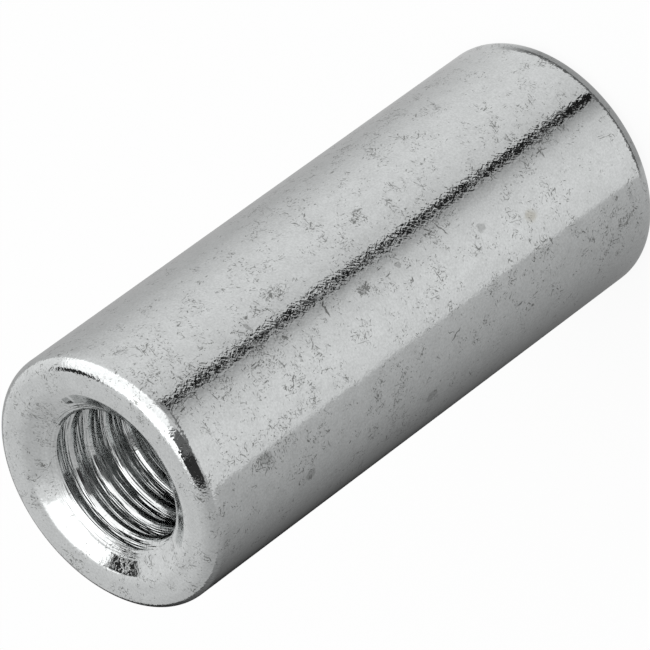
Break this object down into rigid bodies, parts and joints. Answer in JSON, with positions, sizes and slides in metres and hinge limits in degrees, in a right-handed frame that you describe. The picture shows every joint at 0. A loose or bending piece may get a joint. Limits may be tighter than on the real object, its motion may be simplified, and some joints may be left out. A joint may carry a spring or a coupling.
{
  "type": "round coupling nut",
  "caption": "Plain cylindrical sleeve, tapped right through along its axis, with a countersink in each end and rounded outer edges; joins threaded rods end to end.",
  "frame": {"origin": "centre of the lower end, on the surface the nut stands on", "axes": "+Z along the thread's axis, up out of the upper end; X and Y are free, because the nut is round"},
  "size_m": [0.016, 0.016, 0.0395],
  "materials": {
    "zinc_plated_steel": "bright zinc plating over turned steel, softly mirror-like, with fine scratches, pits and a few dull spots"
  },
  "bodies": {
    "root": {"coupling_nut": "zinc_plated_steel"}
  },
  "joints": []
}
